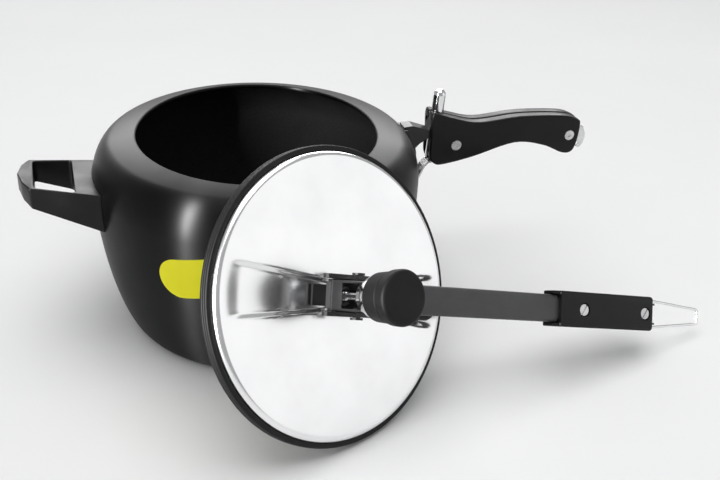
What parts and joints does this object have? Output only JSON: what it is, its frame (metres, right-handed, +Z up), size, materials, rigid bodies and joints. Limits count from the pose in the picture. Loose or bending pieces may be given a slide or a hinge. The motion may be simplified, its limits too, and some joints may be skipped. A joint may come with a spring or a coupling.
{
  "type": "stovetop pressure cooker",
  "caption": "Inner-lid stovetop pressure cooker: black pot with side handles, steel lid off and leaning, with its locking bar, wire loop and pressure weight.",
  "frame": {"origin": "centre of the pot's flat base, on the surface it stands on", "axes": "+Z up along the pot's axis, +X along the long handle, -Y towards the side where the lid leans"},
  "size_m": [0.507, 0.3432, 0.1845],
  "materials": {
    "anodised": "satin hard-anodised black",
    "phenolic": "moulded black phenolic, slightly glossy",
    "black_steel": "black stove enamel",
    "grey_steel": "dark grey textured paint",
    "chrome": "bright chrome plate",
    "stainless": "polished stainless steel",
    "rubber": "black food-grade rubber",
    "zinc": "zinc-plated steel"
  },
  "bodies": {
    "pot": {"pot_body": "anodised", "helper_handle": "phenolic", "helper_stud": "zinc", "helper_screw": "zinc", "handle_bracket": "black_steel", "post_stay": "stainless", "bracket_rivet_1": "zinc", "bracket_rivet_2": "zinc", "bracket_rivet_3": "zinc", "handle_tang": "stainless", "long_handle_front": "phenolic", "long_handle_rear": "phenolic", "handle_screw_inner": "zinc", "handle_screw_outer": "zinc", "handle_nut_inner": "zinc", "handle_nut_outer": "zinc", "fulcrum_post": "chrome"},
    "lid": {"lid_plate": "stainless", "lid_gasket": "rubber", "vent_tube": "chrome", "vent_collar": "chrome", "vent_washer": "rubber", "vent_nut": "zinc", "bar_bracket": "black_steel", "pivot_rivet_left": "black_steel", "pivot_rivet_right": "black_steel", "safety_valve_body": "zinc", "safety_valve_cap": "rubber", "safety_valve_nut": "zinc"},
    "bar": {"lid_bar": "grey_steel", "bar_grip": "phenolic", "grip_screw_inner": "zinc", "grip_screw_outer": "zinc"},
    "loop": {"hook_loop": "stainless"},
    "weight": {"weight_core": "chrome", "weight_cap": "phenolic"}
  },
  "joints": [
    {"name": "lid_lift", "type": "slide", "parent": "pot", "child": "lid", "axis": [0, 0, 1], "range_m": [0, 0.2]},
    {"name": "weight_lift", "type": "slide", "parent": "lid", "child": "weight", "axis": [0.3956, -0.8156, 0.4222], "range_m": [0, 0.04]},
    {"name": "bar_tilt", "type": "hinge", "parent": "lid", "child": "bar", "pos_m": [0.03002, -0.17152, 0.10423], "axis": [-0.1757, -0.5184, -0.8369], "range_deg": [-8, 12]},
    {"name": "loop_swing", "type": "hinge", "parent": "bar", "child": "loop", "pos_m": [0.2793, -0.13601, 0.0299], "axis": [-0.1757, -0.5184, -0.8369], "range_deg": [-100, 100]}
  ]
}
